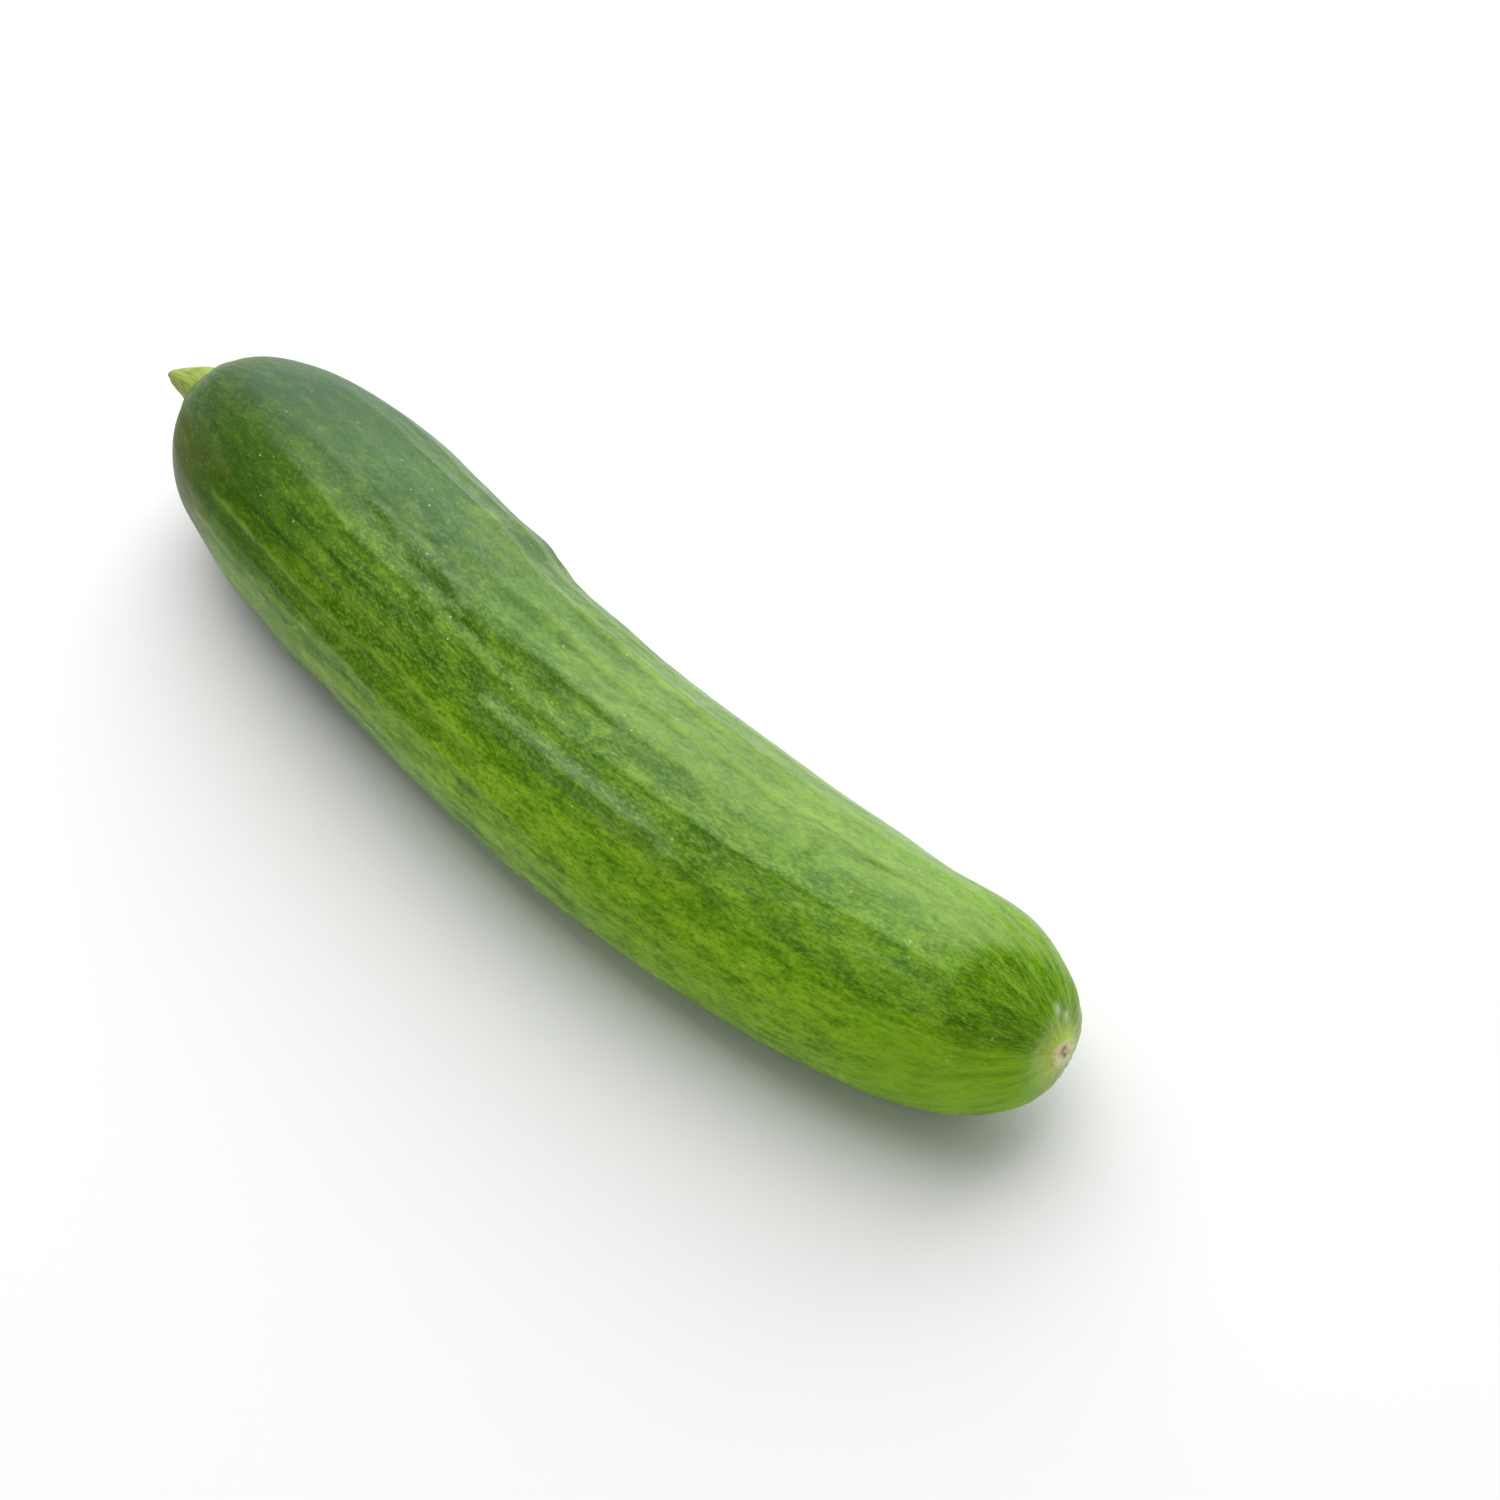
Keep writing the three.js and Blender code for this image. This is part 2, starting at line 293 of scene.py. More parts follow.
# the grain of each random pattern: length along and width round the fruit of a lump, and its seed
VEIN_GRAIN = (14, 3, 11)
DIMPLE_GRAIN = (3.2, 1.6, 21)
CRINKLE_GRAIN = (6.5, 1.5, 61)
WAVE_GRAIN = (4.5, 1.5, 71)
# where the upper flank waves: angle round, its spread, rise and fall along the fruit, and strength
WAVES = [(107, 11, (0.3, 0.38), (0.6, 0.75), 0.6), (126, 9, (0.42, 0.5), (0.75, 0.9), 0.35)]
# where the listed folds shape the flank, so that the random relief is quiet
QUIET = (115, 20, (0.38, 0.45), (0.66, 0.74), 0.65)
# where the ribs run calm: low on the flank and on the step
LOW_ANGLE, LOW_SPREAD, LOW_START, LOW_CALM = 152, 30, (0.35, 0.5), 0.65
STEP_ANGLES, STEP_REACH, STEP_CALM = ((88, 98), (136, 146)), ((0.34, 0.4), (0.64, 0.74)), 0.85
# the skin is let down on top, so that its highest folds are no higher than the solid's skin
SETTLING = 0.36
SETTLING_ANGLE, SETTLING_SPREAD, SETTLING_PLACE, SETTLING_REACH = 96, 28, 0.32, 0.1
# a step down the flank: its height in millimetres at angles round, and how many degrees its upper
# edge is turned and how deep it is at shares of the span
SHELF = [
    (80, 0), (92, 0), (95, 0.02), (98, -0.17), (100, -0.34), (102, -0.49), (104, -0.62),
    (106, -0.74), (108, -0.84), (109.5, -0.88), (111, -0.86), (113, -0.78), (114.8, -0.73),
    (117, -0.82), (120, -0.87), (140, -0.6), (160, -0.25), (178, 0), (195, 0),
]
SHELF_SHIFT = [(0.38, 5), (0.44, 4.5), (0.48, 2.5), (0.52, 0), (0.60, 0), (0.66, -1)]
SHELF_EDGE = (103, 111)  # angles round over which that turn fades out
SHELF_DEPTH = [
    (0.405, 0), (0.43, 0.7), (0.455, 1.1), (0.51, 1.1), (0.56, 1), (0.60, 0.6), (0.64, 0.3), (0.69, 0),
]
FOLD_RUN = 0.018  # share of the span over which a fold rises at each end
MOST_UNEVEN = 0.25  # a fold higher than this, in millimetres, is no more uneven than one this high

FOLD_WAVER, FOLD_WAVER_LENGTH = 0.12, 1.3  # how far a fold wavers sideways, in millimetres
# waves that make a fold's height uneven: share of the height, length in millimetres and turn
FOLD_WAVES = [(0.3, 1.9, 3), (0.25, 0.8, 1)]

# two ridges on the stem half of the flank, which also carry pale lines: partly the skin's own stripes,
# partly painted light on the ridges
LOW_RIDGE = [
    (0.12, 151), (0.25, 151), (0.32, 150), (0.37, 147), (0.40, 142), (0.43, 145), (0.52, 150),
]
FLANK_RIDGE = [
    (0.22, 170), (0.30, 168), (0.345, 163.5), (0.41, 166), (0.45, 163.5), (0.56, 161),
]

# Raised and sunk lines of the skin: places (share of the span, angle round), half width and height
# in millimetres
FOLDS = [
    ([(0.35, 57), (0.50, 58), (0.60, 59.5), (0.70, 60)], 0.9, 0.14),
    ([(0.46, 62.5), (0.58, 62.5), (0.68, 64)], 0.5, -0.1),
    ([(0.68, 63), (0.73, 65), (0.78, 64)], 0.8, 0.14),
    ([(0.66, 52), (0.675, 57), (0.70, 61)], 0.5, -0.16),
    (
        [(0.44, 77), (0.60, 78), (0.70, 76), (0.73, 78), (0.77, 73), (0.81, 77), (0.90, 74), (0.97, 74)],
        0.9, 0.16,
    ),
    (
        [(0.44, 81), (0.60, 81.5), (0.70, 79.5), (0.73, 81.5), (0.77, 76.5), (0.81, 80.5), (0.90, 78)],
        0.5, -0.14,
    ),
    ([(0.39, 88), (0.44, 84), (0.52, 86)], 0.6, -0.1),
    ([(0.24, 97.5), (0.31, 94), (0.37, 92)], 0.55, -0.24),
    ([(0.24, 101), (0.32, 97.5), (0.37, 98.5), (0.40, 101), (0.46, 101)], 0.8, 0.18),
    ([(0.45, 104), (0.49, 97.5), (0.53, 96), (0.60, 95.5), (0.67, 94)], 0.8, 0.16),
    ([(0.45, 108), (0.49, 101), (0.53, 99.3), (0.60, 98.8), (0.67, 97)], 0.45, -0.1),
    ([(0.33, 111), (0.35, 107), (0.38, 106), (0.405, 105)], 0.5, -0.2),
    ([(0.33, 115), (0.36, 111.5), (0.39, 111.5)], 0.8, 0.24),
    ([(0.393, 121), (0.402, 114), (0.42, 109), (0.45, 107.5)], 0.5, -0.28),
    ([(0.58, 111.5), (0.62, 110.5), (0.70, 111), (0.77, 109.5), (0.90, 111)], 0.9, 0.15),
    ([(0.58, 115), (0.62, 114.5), (0.70, 115), (0.77, 113.5), (0.90, 114.5)], 0.4, -0.07),
    ([(0.47, 129.5), (0.50, 129.2), (0.588, 129.4)], 1.5, 0.88),
    ([(0.568, 128.5), (0.60, 128.8), (0.632, 127.8)], 1.55, 0.78),
    ([(0.613, 128.4), (0.64, 129), (0.672, 127.8)], 1.45, 0.76),
    ([(0.66, 129.5), (0.685, 132), (0.712, 130.5)], 1.3, 0.6),
    ([(0.712, 129), (0.735, 131.5), (0.768, 127)], 1.0, 0.36),
    ([(0.50, 141), (0.60, 138), (0.68, 140), (0.74, 137)], 0.9, 0.12),
    (LOW_RIDGE, 0.8, 0.17),
    ([(0.28, 147.5), (0.33, 146), (0.37, 143), (0.40, 137.5), (0.45, 140)], 0.5, -0.15),
    ([(0.15, 141), (0.23, 140), (0.31, 139.5)], 0.45, -0.12),
    ([(0.20, 129), (0.28, 128.5), (0.38, 128)], 0.45, -0.12),
    ([(0.18, 135), (0.28, 134), (0.38, 133)], 0.5, 0.1),
    ([(0.10, 171)] + FLANK_RIDGE, 0.9, 0.2),
    ([(0.25, 186), (0.36, 182), (0.50, 184)], 1.1, 0.2),
    ([(0.30, 176), (0.36, 174), (0.45, 174)], 1.2, -0.14),
    ([(0.70, 145), (0.80, 144), (0.86, 144.5), (0.96, 144)], 0.5, -0.1),
    ([(0.722, 179), (0.735, 175), (0.755, 171)], 0.55, -0.25),
    ([(0.928, 57), (0.94, 50), (0.957, 42)], 0.4, -0.3),
    ([(0.918, 53), (0.93, 47), (0.945, 41)], 0.35, -0.22),
    ([(0.90, 84), (0.93, 88), (0.96, 84)], 0.45, -0.14),
    ([(0.89, 98), (0.93, 93), (0.97, 96)], 0.45, -0.14),
]

# place along, angle round, half length and half width in millimetres, height, and how dark (above 0)
# or pale (below 0) the skin is there. Each sunk spot is darker and each raised one paler: partly the
# skin's own blotches, partly painted shade in the dents and painted light on the bumps.
SPOTS = [
    (0.775, 93, 1.2, 2.2, -0.2, 0.8),
    (0.826, 102, 2.0, 1.6, -0.16, 0.6),
    (0.81, 84.5, 4.5, 1.3, -0.08, 0.45),
    (0.401, 116.5, 0.8, 2.0, -0.25, 0.9),
    (0.425, 106.5, 1.8, 1.6, -0.05, 0.55),
    (0.36, 105, 3.0, 1.2, -0.12, 0.4),
    (0.48, 107, 1.1, 2.3, -0.04, 0.6),
    (0.518, 104, 1.0, 1.8, -0.04, 0.55),
    (0.562, 103, 1.2, 1.6, -0.03, 0.45),
    (0.612, 106.5, 1.4, 1.2, -0.1, 0.5),
    (0.632, 101, 2.4, 1.3, -0.1, 0.4),
    (0.67, 103, 2.0, 1.3, -0.08, 0.3),
    (0.72, 104, 2.2, 1.2, -0.08, 0.3),
    (0.378, 88, 0.8, 1.2, -0.1, 0.5),
    (0.41, 72, 1.0, 1.6, -0.06, 0.35),
    (0.434, 112, 1.0, 1.2, 0.12, -0.2),
    (0.452, 112, 1.2, 1.2, 0.12, -0.25),
    (0.497, 112, 1.6, 1.2, 0.12, -0.35),
    (0.532, 104, 1.2, 1.2, 0.1, -0.35),
    (0.588, 104.5, 2.0, 1.6, 0.2, -0.4),
    (0.355, 77, 1.6, 1.2, -0.08, 0.35),
    (0.675, 170, 3.0, 1.5, -0.08, 0.3),
    (0.695, 158, 1.6, 1.3, -0.06, 0.35),
    (0.718, 151, 1.2, 1.3, -0.06, 0.35),
    (0.56, 157, 3.2, 1.2, -0.06, 0.35),
    (0.335, 55, 2.4, 2.6, 0.25, -0.8),
    (0.735, 179, 1.6, 1.2, 0.14, -0.45),
    (0.565, 153, 1.6, 1.2, 0.1, -0.45),
    (0.48, 176, 3.6, 2.2, 0.1, -0.5),
    (0.58, 170, 4.5, 1.6, 0.08, -0.45),
]


def straightened(theta, t):
    """Points of the fruit as if it were straight and round: along X, with the same girth."""
    return np.stack([t * SPAN, RADIUS * np.cos(theta), RADIUS * np.sin(theta)], axis=-1)


def spot(theta, t, at, angle, half_length, half_width):
    """1 in the middle of a listed place, and fading over its half length and half width."""
    along = (t - at) * SPAN / half_length
    across = np.radians(round_to(theta, angle)) * skin_radius(t) / half_width
    return hill(np.hypot(along, across), 0, 1)


def grain(flat, length, width, seed):
    """Smooth noise from -1 to 1 over the skin, in lumps of a length along and a width round."""
    return noise(flat / [length, width, width], seed)


def veins(phi, flat, t):
    """Narrow uneven cords that ride on the rib crests."""
    cord = crest(phi) ** VEIN_SHARPNESS
    return VEIN_HEIGHT * rib_strength(t) * cord * (0.65 + 0.6 * grain(flat, *VEIN_GRAIN))


def blistering(theta, t):
    """How strongly the skin is quilted: most on the upper side of the middle third."""
    return hill(t, 0.46, 0.17) * (0.2 + 0.8 * facing(theta, 110, 22)) * ease(0.1, 0.3, t)


def path(places, t):
    """Angle of a line at share t, as a smooth curve through its places, and its rise per share."""
    at, angle = np.array(places, float).T
    slope = np.gradient(angle, at)
    inside = np.clip(t, at[0], at[-1])
    k = np.clip(np.searchsorted(at, inside) - 1, 0, len(at) - 2)
    width = at[k + 1] - at[k]
    s = (inside - at[k]) / width
    blend = 3 * s**2 - 2 * s**3
    bulge = ((s**3 - 2 * s**2 + s) * slope[k] + (s**3 - s**2) * slope[k + 1]) * width
    rise = 6 * (s - s**2) * (angle[k + 1] - angle[k]) / width
    rise = rise + (3 * s**2 - 4 * s + 1) * slope[k] + (3 * s**2 - 2 * s) * slope[k + 1]
    return angle[k] + blend * (angle[k + 1] - angle[k]) + bulge, rise


def beside(places, theta, t, run):
    """Signed distance over the skin from a line, in millimetres, and how far the line has risen."""
    angle, rise = path(places, t)
    out = skin_radius(t)
    slant = np.hypot(1, np.radians(rise) * out / SPAN)
    start, end = places[0][0], places[-1][0]
    risen = between((start, start + run), (end - run, end), t)
    return np.radians(round_to(theta, angle)) * out / slant, risen


def folds(theta, t):
    """The listed raised and sunk lines, each uneven along its length."""
    height = np.zeros_like(t)
    along = t * SPAN
    for index, (places, half_width, rise) in enumerate(FOLDS):
        away, risen = beside(places, theta, t, FOLD_RUN)
        away = away + FOLD_WAVER * np.sin(along / FOLD_WAVER_LENGTH + 2 * index)
        uneven = sum(size * np.sin(along / length + turn * index) for size, length, turn in FOLD_WAVES)
        uneven = 1 + uneven * min(1, MOST_UNEVEN / abs(rise))
        height += rise * risen * uneven * hill(away, 0, half_width)
    return height


def crinkling(theta, t):
    """How strongly the skin is crinkled lengthwise: least at both ends and underneath."""
    upper = facing(theta, 105, 60)
    return ease(0.12, 0.35, t) * (1 - 0.5 * ease(0.7, 0.85, t)) * (0.35 + 0.65 * upper)


def area(theta, t, angle, spread, rise, fall, strength):
    """A soft area of the skin: round an angle, between two places along, up to a strength."""
    return strength * facing(theta, angle, spread) * between(rise, fall, t)


def shelf(theta, t):
    """A broad step down the upper flank, over the middle of the fruit, that levels out below."""
    turn = np.degrees(theta) % 360
    turned = turn - path(SHELF_SHIFT, t)[0] * (1 - ease(*SHELF_EDGE, turn))
    return path(SHELF, turned)[0] * path(SHELF_DEPTH, t)[0]


def fine_relief(phi, theta, t):
    """Height of the fine skin over the bare form: the random relief, then what is listed."""
    flat = straightened(theta, t)
    quilt = pillows(flat / [BLISTER_LENGTH, BLISTER_WIDTH, BLISTER_WIDTH], BLISTER_SEED) - BLISTER_LEVEL
    height = (1 - 0.6 * ease(0.45, 0.6, t)) * veins(phi, flat, t)
    height += BLISTER_HEIGHT * blistering(theta, t) * quilt
    height += DIMPLE_HEIGHT * ease(0.05, 0.3, t) * grain(flat, *DIMPLE_GRAIN)
    height += CRINKLE_HEIGHT * crinkling(theta, t) * (1 - 2 * np.abs(grain(flat, *CRINKLE_GRAIN)))
    waving = sum(area(theta, t, *wave) for wave in WAVES)
    height += WAVE_HEIGHT * waving * grain(flat, *WAVE_GRAIN)
    height *= 1 - area(theta, t, *QUIET)
    for at, angle, half_length, half_width, rise, _ in SPOTS:
        height += rise * spot(theta, t, at, angle, half_length, half_width)
    top = facing(theta, SETTLING_ANGLE, SETTLING_SPREAD) * hill(t, SETTLING_PLACE, SETTLING_REACH)
    return height - SETTLING * top + folds(theta, t) + shelf(theta, t)


def rib_calm(theta, t):
    """What is left of the ribs where the flank runs smooth: on the step and low down."""
    low = LOW_CALM * facing(theta, LOW_ANGLE, LOW_SPREAD) * ease(*LOW_START, t)
    on_step = between(*STEP_ANGLES, np.degrees(theta) % 360) * between(*STEP_REACH, t)
    return 1 - np.maximum(low, STEP_CALM * on_step)


def cork(theta, t):
    """Cracked rim and sunk middle of the corky scar."""
    out = skin_radius(t)
    inside = np.where(t < 0.5, 0, 1 - ease(0.9 * SCAR_RADIUS, 1.15 * SCAR_RADIUS, out))
    cracks = 0.5 + 0.5 * np.cos(9 * theta + 2 * np.sin(2 * theta))
    rim = hill(out, 0.72 * SCAR_RADIUS, 0.5) * (0.4 + 0.6 * cracks)
    return inside * (0.16 * rim - 0.2 - 0.3 * hill(out, 0, 0.55))


def skin_points(phi, t):
    """Points of the skin, with the relief raised along the bare form's normal, none under Z = 0."""
    theta = rib_angle(phi, t)
    along, side, up = section(t)
    out = side * np.cos(theta)[..., None] + up * np.sin(theta)[..., None]
    step = 0.0005
    before, after = np.maximum(0, t - step), np.minimum(1, t + step)
    slope = (skin_radius(after) - skin_radius(before)) / ((after - before) * SPAN)
    normal = out - along * slope[..., None]
    normal /= np.linalg.norm(normal, axis=-1, keepdims=True)
    height = swelling(theta, t) + rib_calm(theta, t) * ribs(phi, theta, t)
    height = height + collar(theta, t) + scar(t) + fine_relief(phi, theta, t) + cork(theta, t)
    points = centre(np.maximum(t, SEAT_SHARE)) + out * skin_radius(t)[..., None]
    points = points + normal * height[..., None]
    points[..., 2] = np.maximum(0, points[..., 2])
    return points, theta


# ----------------------------------------
# Meshes
# ----------------------------------------

FRUIT_ROWS = 340
COLUMNS_PER_RIB = 12
POLE_CROWDING = 0.07
STEM_ROWS, STEM_COLUMNS = 48, 80
STEM_ROOT = 0.7  # how far the stem's foot is sunk into the fruit


def row_shares(rows):
    """Shares of the span for the rows, evenly spaced along the outline but closer at the poles."""
    fine = np.linspace(0, 1, 4001)
    steps = np.hypot(np.diff(fine) * SPAN, np.diff(skin_radius(fine)))
    lengths = np.concatenate([[0], np.cumsum(steps)])
    v = np.arange(1, rows) / rows
    return np.interp((v - POLE_CROWDING * np.sin(TURN * v)) * lengths[-1], lengths, fine)


def closed_skin(name, rings, first, last, attributes):
    """A closed mesh object from rings of points (rows, columns, 3) in millimetres and two poles.

    The rings are joined by quads, and a fan of triangles closes each pole. attributes maps a name
    to values for the rings (rows, columns) or (rows, columns, 3); each pole takes the mean of its
    ring."""
    rows, columns = rings.shape[:2]
    points = np.concatenate([[first], rings.reshape(-1, 3), [last]]) * MM
    column = np.arange(columns)
    following = (column + 1) % columns
    here = 1 + np.arange(rows - 1)[:, None] * columns
    above = here + columns
    quads = np.stack([here + column, here + following, above + following, above + column], -1)
    foot = np.stack([np.zeros(columns, int), 1 + following, 1 + column], -1)
    top = 1 + (rows - 1) * columns
    head = np.stack([np.full(columns, len(points) - 1), top + column, top + following], -1)
    faces = quads.reshape(-1, 4).tolist() + foot.tolist() + head.tolist()
    mesh = bpy.data.meshes.new(name)
    mesh.from_pydata(points.tolist(), [], faces)
    mesh.polygons.foreach_set("use_smooth", np.ones(len(mesh.polygons), bool))
    for key, values in attributes.items():
        at_poles = [values[end].mean(axis=0).reshape(1, -1) for end in (0, -1)]
        values = np.concatenate([at_poles[0], values.reshape(rows * columns, -1), at_poles[1]])
        vector = values.shape[1] == 3
        layer = mesh.attributes.new(key, "FLOAT_VECTOR" if vector else "FLOAT", "POINT")
        layer.data.foreach_set("vector" if vector else "value", values.ravel())
    mesh.update()
    piece = bpy.data.objects.new(name, mesh)
    bpy.context.collection.objects.link(piece)
    return piece


def make_skin():
    columns = RIBS * COLUMNS_PER_RIB
    t, phi = np.meshgrid(row_shares(FRUIT_ROWS), TURN * np.arange(columns) / columns, indexing="ij")
    rings, theta = skin_points(phi, t)
    one = np.array(1.0)
    blossom_pole = centre(one) + section(one)[0] * (scar(one) + cork(np.array(0.0), one))
    seat_pole = centre(np.array(SEAT_SHARE))
    markings = skin_markings(phi, theta, t)
    return closed_skin("cucumber_skin", rings, seat_pole, blossom_pole, markings)


# ----------------------------------------
# Markings: how much of each colour the skin has, worked out at each point
# ----------------------------------------

# Thin lines in the skin. Each has its places (share of the span, angle round), its half width in
# millimetres and how pale and how dark it is. Lines of one group keep well apart from each other. The
# dark lines run in sunk folds, as painted shade in those creases; the pale ones run on raised folds and
# are partly the skin's own pale stripes, partly painted light on the ridges.
LINES = [
    [
        (LOW_RIDGE, 0.5, 1, 0),
        ([(0.40, 117), (0.55, 115), (0.62, 113.5), (0.70, 113.5), (0.77, 112), (0.88, 113)], 0.3, 0, 0.6),
        ([(0.48, 79), (0.6, 80), (0.7, 78), (0.73, 80), (0.77, 75), (0.81, 79), (0.88, 76)], 0.45, 0.8, 0),
    ],
    [
        (FLANK_RIDGE, 0.55, 1, 0),
        ([(0.16, 141), (0.23, 140), (0.30, 139.5)], 0.3, 0, 0.8),
        ([(0.46, 106), (0.49, 99.5), (0.53, 98), (0.60, 97.5), (0.66, 96)], 0.3, 0, 0.5),
        ([(0.50, 60), (0.56, 59.5), (0.60, 61), (0.68, 62)], 0.5, 0.7, 0),
    ],
    [
        ([(0.27, 185), (0.36, 182), (0.48, 184)], 0.9, 0.8, 0),
        ([(0.20, 129), (0.28, 128.5), (0.37, 128)], 0.3, 0, 0.8),
        ([(0.26, 97), (0.31, 94), (0.36, 93)], 0.4, 0, 0.8),
        ([(0.70, 145), (0.80, 144), (0.86, 144.5), (0.95, 144)], 0.35, 0, 0.6),
    ],
]
LINE_REACH = 2.2  # how far from a line its group's distances are kept, in millimetres
LINE_RUN, BAND_RUN = 0.04, 0.03  # share of the span over which a line or band fades in and out

# Soft bands in the skin: places, half width in millimetres, and how dark or pale, as for the spots.
# Most dark bands follow sunk folds and the step down the flank, as painted shade there; most pale ones
# follow raised folds, partly the skin's own stripes and partly painted light on them.
BANDS = [
    ([(0.08, 160), (0.20, 158), (0.30, 158), (0.40, 157), (0.50, 157)], 1.6, 0.55),
    ([(0.29, 177), (0.36, 175), (0.47, 176)], 1.6, 0.5),
    ([(0.29, 147), (0.36, 144), (0.40, 138.5), (0.47, 141)], 0.8, 0.55),
    ([(0.18, 138), (0.24, 138.5), (0.33, 138)], 0.5, 0.4),
    ([(0.18, 129), (0.28, 128.5), (0.40, 128)], 0.5, 0.45),
    ([(0.44, 132), (0.52, 131), (0.60, 131), (0.66, 131), (0.73, 133)], 0.8, 0.35),
    ([(0.44, 120.5), (0.55, 119), (0.65, 118.5), (0.76, 118)], 0.9, 0.15),
    ([(0.44, 106), (0.49, 99.5), (0.53, 98), (0.60, 97.5), (0.68, 96)], 0.7, 0.25),
    (
        [(0.43, 81.5), (0.60, 82), (0.70, 80), (0.73, 82), (0.77, 77.5), (0.81, 81), (0.90, 79)],
        0.42, 0.8,
    ),
    ([(0.45, 62.5), (0.58, 62.5), (0.70, 64)], 0.45, 0.75),
    ([(0.24, 97), (0.31, 94.5), (0.38, 92.5)], 0.6, 0.75),
    ([(0.33, 110.5), (0.35, 107), (0.38, 106), (0.41, 105)], 0.6, 0.6),
    ([(0.38, 88), (0.44, 84), (0.53, 86)], 0.8, 0.5),
    (
        [(0.11, 152.5), (0.30, 152.5), (0.37, 149.5), (0.41, 144.5), (0.46, 148.5), (0.53, 153)],
        1.0, -0.5,
    ),
    ([(0.09, 172), (0.22, 172), (0.31, 170), (0.345, 166), (0.41, 168.5), (0.46, 167)], 1.2, -0.5),
    ([(0.26, 186), (0.36, 183), (0.50, 185)], 1.4, -0.5),
    ([(0.18, 135.5), (0.30, 135), (0.42, 134)], 0.5, -0.3),
    ([(0.16, 131.5), (0.30, 131.5), (0.38, 131)], 0.4, -0.2),
    (
        [(0.44, 78), (0.60, 78.5), (0.70, 76.5), (0.73, 78.5), (0.77, 73.5), (0.81, 77.5), (0.92, 74)],
        0.75, -0.6,
    ),
    ([(0.34, 58), (0.50, 59), (0.60, 60.5), (0.72, 61)], 0.8, -0.6),
    ([(0.69, 66), (0.73, 66), (0.78, 64)], 0.7, -0.4),
    ([(0.88, 165), (0.94, 160), (0.99, 158)], 1.0, -0.6),
    ([(0.88, 182), (0.94, 176), (0.99, 172)], 0.9, -0.6),
    ([(0.90, 150), (0.95, 148), (0.99, 146)], 0.7, -0.5),
    ([(0.92, 196), (0.99, 190)], 1.0, -0.5),
    ([(0.90, 173), (0.95, 168), (0.99, 165)], 0.7, 0.4),
    ([(0.93, 66), (0.99, 66)], 0.8, 0.4),
    ([(0.90, 48), (0.99, 50)], 1.1, -0.6),
    ([(0.91, 30), (0.998, 24)], 1.7, -0.8),
    ([(0.94, 40), (0.998, 38)], 0.5, 0.4),
    ([(0.455, 124), (0.50, 124), (0.60, 123.8), (0.675, 123.8)], 1.1, 0.5),
    ([(0.435, 106), (0.47, 105), (0.52, 104), (0.57, 103.5)], 1.3, 0.4),
    ([(0.43, 112.5), (0.50, 112.5), (0.575, 111.5)], 0.6, -0.3),
    ([(0.17, 102), (0.28, 102), (0.41, 102)], 2.8, 0.25),
    ([(0.18, 52), (0.28, 52), (0.38, 52)], 3.2, 0.15),
]
# painted glints by the scar, pale dabs of highlight: place along, angle round, half length and half width
PAINTED_GLINT_PLACES = [(0.9905, 68, 0.4, 0.4), (0.9942, 52, 0.25, 0.5)]

# how ripe the skin is along the fruit
RIPENESS_PLACES, RIPENESS = [0.05, 0.45, 0.9], [0, 0.5, 1]
# how much darker the upper side is along the fruit
SHADE_PLACES = [0.02, 0.09, 0.27, 0.33, 0.38, 0.44]
SHADE_DEPTHS = [0.0, 0.4, 0.4, 1.0, 1.0, 0.0]
# how much darker the flank is along the fruit, round one angle
DUSK_PLACES = [0.07, 0.12, 0.2, 0.4, 0.5, 1.0]
DUSK_DEPTHS = [0.5, 0.28, 0.4, 0.34, 0.14, 0.26]
DUSK_ANGLE, DUSK_SPREAD = 126, 9
CAP_DARKNESS = 0.75  # of the skin round the scar
PATCH_GRAIN, RAY_GRAIN = (16, 7, 31), (9, 3, 41)
FAR_FROM_SCAR = 12.0
PITS, PIT_SIZE = [(0.34, 0.75), (0.28, -0.48)], 0.3  # dark pits, in millimetres from the pole


def line_group(lines, theta, t):
    """Signed distance to the nearest line in half widths, and how pale and how dark it is there."""
    distance = np.full_like(t, LINE_REACH)
    pale, dark = np.zeros_like(t), np.zeros_like(t)
    for places, half_width, paleness, darkness in lines:
        away, risen = beside(places, theta, t, LINE_RUN)
        near = np.abs(away) < LINE_REACH
        shown = risen * (1 - ease(0.6 * LINE_REACH, LINE_REACH, np.abs(away)))
        distance = np.where(near, away / half_width, distance)
        pale = np.where(near, shown * paleness, pale)
        dark = np.where(near, shown * darkness, dark)
    return np.stack([distance, pale, dark], axis=-1)


def tip_edge(turn, t):
    """0 along the body and 1 on the cap of darker skin round the scar, past a slanted edge."""
    return ease(0.915, 0.938, t + 0.0008 * np.minimum(0, turn - 95))


def polish(turn, t, out):
    """How glossy the wax is: most on the upper side, least low on the flank, strong by the scar."""
    upper = between((5, 78), (129, 141), turn)
    upper = upper * (1 - (0.1 + 0.5 * ease(0.76, 0.84, t)) * (1 - ease(58, 72, turn)))
    upper = upper * (1 + 0.7 * hill(turn, 104, 10) * between((0.14, 0.24), (0.38, 0.46), t))
    upper = upper * (1 + 0.9 * hill(turn, 124, 3) * between((0.44, 0.49), (0.66, 0.7), t))
    along = 0.62 - 0.18 * hill(t, 0.15, 0.06) * (1 - ease(86, 98, turn)) + 0.38 * ease(0.45, 0.58, t)
    along = along * (1 - 0.88 * tip_edge(turn, t))
    rim = 0.35 * ease(158, 174, turn) * (1 - 0.75 * ease(0.5, 0.7, t))
    by_scar = np.where(t < 0.5, 0, 1 - ease(4, 8, out))
    return np.maximum(np.maximum(upper * along, rim), by_scar)


